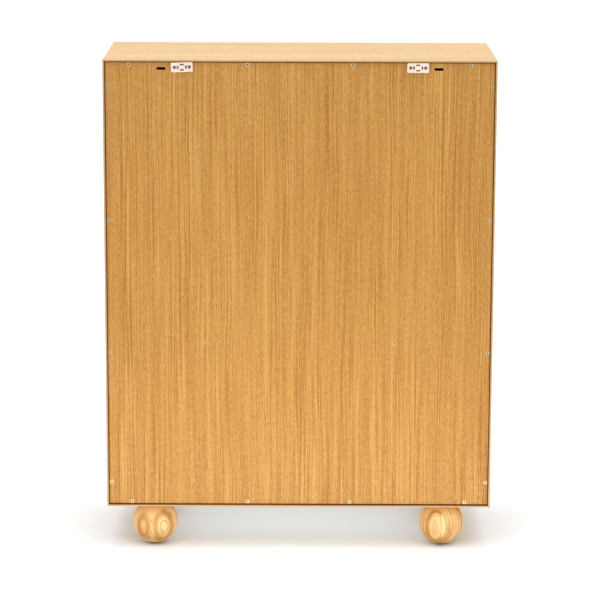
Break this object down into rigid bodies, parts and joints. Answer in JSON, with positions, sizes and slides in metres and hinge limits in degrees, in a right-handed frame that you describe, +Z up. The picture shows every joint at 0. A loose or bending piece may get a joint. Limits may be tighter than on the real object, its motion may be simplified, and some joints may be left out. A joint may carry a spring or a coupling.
{
  "type": "storage cabinet",
  "caption": "Oak-veneered cabinet on turned ball feet, with hinged doors above a deep drawer and a screwed-on back with strap brackets for anchoring it to a wall.",
  "frame": {"origin": "on the floor, at the centre of the overall footprint, knobs included", "axes": "+X to the right of a person standing in front of the cabinet, the doors face -Y, +Z up"},
  "size_m": [0.85, 0.382, 1.094],
  "materials": {
    "oak_carcass": "satin lacquered oak veneer, grain along the board",
    "oak_back_panel": "satin lacquered oak veneer, grain upright",
    "oak_front": "satin lacquered oak veneer, grain upright",
    "solid_wood": "satin lacquered turned ash",
    "drawer_plywood": "clear lacquered birch",
    "dowel_wood": "raw beech",
    "nickel_screws": "nickel plated",
    "zinc_steel": "zinc plated",
    "hinge_steel": "satin nickel",
    "white_plastic": "moulded",
    "catch_plastic": "moulded",
    "magnet_ferrite": "sintered ferrite",
    "felt": "pressed felt"
  },
  "bodies": {
    "carcass": {"adjustable_shelf": "oak_carcass", "back_left_foot": "solid_wood", "back_panel": "oak_back_panel", "back_panel_screws": "nickel_screws", "back_right_foot": "solid_wood", "bottom_board": "oak_carcass", "catch_case": "catch_plastic", "catch_magnets": "magnet_ferrite", "catch_screw": "nickel_screws", "corner_dowels": "dowel_wood", "fixed_shelf": "oak_carcass", "fixed_shelf_dowels": "dowel_wood", "foot_felt_pads": "felt", "foot_hanger_bolts": "zinc_steel", "foot_insert_nuts": "zinc_steel", "front_left_foot": "solid_wood", "front_right_foot": "solid_wood", "hinge_frame_screws": "nickel_screws", "hinge_pins": "hinge_steel", "left_hinge_frame_leaves": "hinge_steel", "left_side_board": "oak_carcass", "left_slide_outer_member": "zinc_steel", "left_wall_bracket": "white_plastic", "right_hinge_frame_leaves": "hinge_steel", "right_side_board": "oak_carcass", "right_slide_outer_member": "zinc_steel", "right_wall_bracket": "white_plastic", "shelf_pins": "zinc_steel", "slide_cabinet_screws": "nickel_screws", "top_board": "oak_carcass", "wall_bracket_screws": "nickel_screws"},
    "left_door": {"left_door": "oak_front", "left_hinge_door_leaves": "hinge_steel", "left_door_screws": "nickel_screws", "left_door_knob": "solid_wood", "left_door_knob_screw": "nickel_screws", "left_strike_plate": "zinc_steel"},
    "right_door": {"right_door": "oak_front", "right_hinge_door_leaves": "hinge_steel", "right_door_screws": "nickel_screws", "right_door_knob": "solid_wood", "right_door_knob_screw": "nickel_screws", "right_strike_plate": "zinc_steel"},
    "drawer": {"drawer_front": "oak_front", "drawer_inner_front": "drawer_plywood", "drawer_left_side": "drawer_plywood", "drawer_right_side": "drawer_plywood", "drawer_back": "drawer_plywood", "drawer_bottom": "drawer_plywood", "drawer_left_knob": "solid_wood", "drawer_right_knob": "solid_wood", "drawer_knob_screws": "nickel_screws", "drawer_front_screws": "nickel_screws", "left_slide_inner_member": "zinc_steel", "right_slide_inner_member": "zinc_steel", "slide_drawer_screws": "nickel_screws"},
    "slide_middles": {"left_slide_middle_member": "zinc_steel", "right_slide_middle_member": "zinc_steel"}
  },
  "joints": [
    {"name": "left_door_hinge", "type": "hinge", "parent": "carcass", "child": "left_door", "pos_m": [-0.4047, -0.162, 0.78248], "axis": [0, 0, -1], "range_deg": [0, 180]},
    {"name": "right_door_hinge", "type": "hinge", "parent": "carcass", "child": "right_door", "pos_m": [0.4047, -0.162, 0.78248], "axis": [0, 0, 1], "range_deg": [0, 180]},
    {"name": "drawer_slide", "type": "slide", "parent": "carcass", "child": "drawer", "axis": [0, -1, 0], "range_m": [0, 0.3]},
    {"name": "slide_middle_slide", "type": "slide", "parent": "carcass", "child": "slide_middles", "axis": [0, -1, 0], "range_m": [0, 0.15]}
  ],
  "couplings": [
    {"joint": "slide_middle_slide", "follows": "drawer_slide", "ratio": 0.5}
  ]
}
